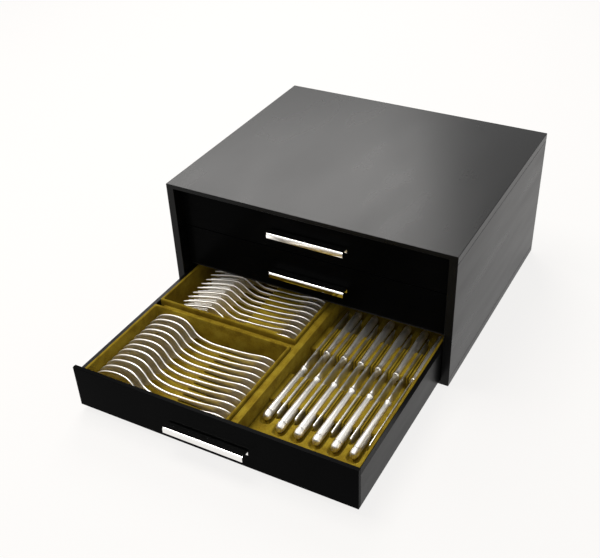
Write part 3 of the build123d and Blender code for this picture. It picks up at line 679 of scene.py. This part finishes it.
def knife_blade_mesh():
    """Rounded-tip blade, spine up, thinning towards its edge."""
    rows = [(121, 8.0, -6.5), (124, 8.0, -8.4), (128, 8.0, -10.6), (134, 8.0, -11), (170, 8.0, -11),
            (210, 8.0, -11), (231, 8.0, -11), (237, 8.0, -10.1), (242, 8.0, -8.0), (246, 7.8, -4.0),
            (248.2, 7.0, 0.2), (249, 5.6, 3.2)]
    rings = []
    for y, spine, edge in smooth_stations(rows, 3):
        half = BLADE_HALF * (1 if y < BLADE_TAPER_Y else 0.8)
        shoulder = spine - 0.4
        middle = spine * 0.4 + edge * 0.6
        rings.append([(-half, y, shoulder), (-half * 0.6, y, spine), (half * 0.6, y, spine),
                      (half, y, shoulder), (half * 0.9, y, middle), (0.15, y, edge),
                      (-0.15, y, edge), (-half * 0.9, y, middle)])
    return loft_mesh("knife_blade", rings, "blade_steel", 50)


def in_drawer(x, y, z, tilt=(0, 0, 0)):
    """Placing matrix in the open drawer."""
    return Matrix.Translation(drawer_origin(3) + Vector((x, y, z)) * MM) @ Euler(tilt).to_matrix().to_4x4()


def lay_cutlery():
    """All cutlery of the open drawer, each piece a little different in its place."""
    spoon = spoon_mesh()
    fork = fork_mesh()
    for index in range(PIECES):
        tilt = (random.uniform(-0.012, 0.012), random.uniform(-0.003, 0.003), random.uniform(-0.002, 0.002))
        spoon_tilt = (SPOON_LEAN + tilt[0], tilt[1], tilt[2])
        y = SPOON_FIRST_Y + index * SPOON_PITCH + CUTLERY_SHIFT
        piece = add_copy(f"table_spoon_{index + 1:02d}", spoon, "drawer_3",
                         in_drawer(0, y, AXIS_Z + CUTLERY_LIFT, spoon_tilt))
        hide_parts("drawer_3_table_spoons")
        y = FORK_FIRST_Y + index * FORK_PITCH + CUTLERY_SHIFT
        piece = add_copy(f"table_fork_{index + 1:02d}", fork, "drawer_3",
                         in_drawer(0, y, AXIS_Z + CUTLERY_LIFT, tilt))
        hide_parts("drawer_3_table_forks")
    handle = knife_handle_mesh()
    blade = knife_blade_mesh()
    for row, turn in (("front", 0), ("back", pi)):
        for index, (x, butt_y) in enumerate(butts(row)):
            roll = random.uniform(-0.03, 0.03)
            matrix = in_drawer(x, butt_y, KNIFE_AXIS_Z, (0, roll, turn))
            piece = add_copy(f"{row}_knife_handle_{index + 1}", handle, "drawer_3", matrix)
            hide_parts("drawer_3_knife_handles")
            piece = add_copy(f"{row}_knife_blade_{index + 1}", blade, "drawer_3", matrix)
            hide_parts("drawer_3_knife_blades")


# ================================================================ felt under the case
def felt_sheet():
    """Felt under the case, with rounded corners and a soft lower edge."""
    low, high = [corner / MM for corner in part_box("felt_base")]
    points = []
    profile = [(0.0, high.z), (0.0, low.z + 0.5), (0.5, low.z)]
    count = 0
    for inward, z in profile:
        x_limits = (low.x + inward, high.x - inward)
        y_limits = (low.y + inward, high.y - inward)
        loop = rounded_loop(x_limits, y_limits, 4.0, (60, 50), 6)
        count = len(loop)
        points += [(x, y, z) for x, y in loop]
    piece = add_piece("felt_sheet", points, ring_faces(len(profile), count), "felt", "carcass", (0, 0, 0), 50)
    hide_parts("felt_base")


# ================================================================ studio
def set_camera():
    """Camera at the photograph's place."""
    camera = bpy.data.cameras.new("camera")
    camera.sensor_width = CAMERA_SENSOR
    camera.lens = CAMERA_LENS
    camera.shift_x, camera.shift_y = CAMERA_SHIFT
    camera.clip_end = 100
    view = bpy.data.objects.new("camera", camera)
    bpy.context.scene.collection.objects.link(view)
    turn = Matrix((CAMERA_RIGHT, -Vector(CAMERA_DOWN), -Vector(CAMERA_AHEAD))).transposed()
    view.matrix_world = Matrix.Translation(CAMERA_PLACE) @ turn.to_4x4()
    bpy.context.scene.camera = view


def set_world():
    """Soft white surroundings, plain white to the camera and to glossy surfaces."""
    world = bpy.data.worlds.new("studio")
    bpy.context.scene.world = world
    world.use_nodes = True
    nodes, links = world.node_tree.nodes, world.node_tree.links
    ambient = nodes["Background"]
    ambient.inputs["Color"].default_value = (1.0, 0.98, 0.95, 1)
    ambient.inputs["Strength"].default_value = 0.35
    shown = nodes.new("ShaderNodeBackground")
    shown.inputs["Color"].default_value = (1, 1, 1, 1)
    shown.inputs["Strength"].default_value = 1.0
    mix_seen(nodes, links, ambient.outputs[0], shown.outputs[0], nodes["World Output"].inputs["Surface"])


def mix_seen(nodes, links, usual, seen, target):
    """Shows `seen` to camera, glossy and transmission rays and `usual` to all others."""
    path = nodes.new("ShaderNodeLightPath")
    first = nodes.new("ShaderNodeMath")
    first.operation = "MAXIMUM"
    second = nodes.new("ShaderNodeMath")
    second.operation = "MAXIMUM"
    mixed = nodes.new("ShaderNodeMixShader")
    links.new(path.outputs["Is Camera Ray"], first.inputs[0])
    links.new(path.outputs["Is Glossy Ray"], first.inputs[1])
    links.new(first.outputs[0], second.inputs[0])
    links.new(path.outputs["Is Transmission Ray"], second.inputs[1])
    links.new(second.outputs[0], mixed.inputs[0])
    links.new(usual, mixed.inputs[1])
    links.new(seen, mixed.inputs[2])
    links.new(mixed.outputs[0], target)


def set_floor():
    """Large pale floor that keeps a faint shadow."""
    reach = FLOOR_REACH
    corners = [(-reach, -reach, 0), (reach, -reach, 0), (reach, reach, 0), (-reach, reach, 0)]
    mesh = bpy.data.meshes.new("floor")
    mesh.from_pydata(corners, [], [(0, 1, 2, 3)])
    floor = bpy.data.objects.new("floor", mesh)
    bpy.context.scene.collection.objects.link(floor)
    material, nodes, links, shader = node_material("pale_floor")
    shader.inputs["Base Color"].default_value = (0.8, 0.78, 0.76, 1)
    shader.inputs["Roughness"].default_value = 0.9
    glow = nodes.new("ShaderNodeEmission")
    glow.inputs["Color"].default_value = (1, 0.99, 0.98, 1)
    glow.inputs["Strength"].default_value = 1.0
    seen = nodes.new("ShaderNodeMixShader")
    seen.inputs[0].default_value = 0.85
    links.new(shader.outputs[0], seen.inputs[1])
    links.new(glow.outputs[0], seen.inputs[2])
    mix_seen(nodes, links, shader.outputs[0], seen.outputs[0], nodes["Material Output"].inputs["Surface"])
    mesh.materials.append(material)


def soft_lamp(name, place, target, size, power, colour=(1, 1, 1)):
    """Square area lamp that points at a target."""
    lamp = bpy.data.lights.new(name, "AREA")
    lamp.shape = "SQUARE"
    lamp.size = size
    lamp.energy = power
    lamp.color = colour
    holder = bpy.data.objects.new(name, lamp)
    bpy.context.scene.collection.objects.link(holder)
    holder.location = place
    aim = Vector(target) - Vector(place)
    holder.rotation_euler = aim.to_track_quat("-Z", "Y").to_euler()


def set_studio():
    """Camera, surroundings, floor and lamps."""
    set_camera()
    set_world()
    set_floor()
    soft_lamp("key", (-0.55, -0.2, 1.9), (0, -0.3, 0.05), 1.0, 26, (1.0, 0.97, 0.92))
    soft_lamp("back", (-1.0, 1.5, 1.7), (0, 0, 0.2), 1.2, 30, (1.0, 0.98, 0.96))


# ================================================================ making
def make_inserts():
    """Velvet of all drawers."""
    tray("spoon_tray_velvet", 3, "spoon_tray")
    tray("fork_tray_velvet", 3, "fork_tray")
    soft_bar("tray_spacer_velvet", 3, "tray_spacer")
    soft_bar("centre_divider_velvet", 3, "centre_divider")
    knife_tray("knife_tray_velvet")
    butt_pad("front_butt_pad_velvet", "front_butt_pad", "front", -1)
    butt_pad("back_butt_pad_velvet", "back_butt_pad", "back", 1)
    knife_rack("front_knife_rack_velvet", "front_knife_rack", FRONT_KNIFE_X, BACK_KNIFE_X)
    knife_rack("back_knife_rack_velvet", "back_knife_rack", BACK_KNIFE_X, FRONT_KNIFE_X)
    stem_rack("spoon_rack_velvet", 3, "spoon_rack", SPOON_FIRST_Y, SPOON_PITCH, PIECES,
              SPOON_CREST_Z, SPOON_FOOT_Z)
    stem_rack("fork_rack_velvet", 3, "fork_rack", FORK_FIRST_Y, FORK_PITCH, PIECES,
              RACK_CREST_Z, RACK_FOOT_Z)
    for number in (1, 2):
        tray(f"drawer_{number}_liner_velvet", number, "liner")
        soft_bar(f"drawer_{number}_divider_velvet", number, "divider")
        for side in ("left", "right"):
            stem_rack(f"drawer_{number}_{side}_rack_velvet", number, f"{side}_rack", CLOSED_RACK_FIRST_Y,
                      CLOSED_RACK_PITCH, CLOSED_RACK_SLOTS, RACK_CREST_Z, RACK_FOOT_Z)


finish_cad_nodes()
make_inserts()
lay_cutlery()
felt_sheet()
set_studio()

bpy.context.scene.view_settings.view_transform = "Standard"
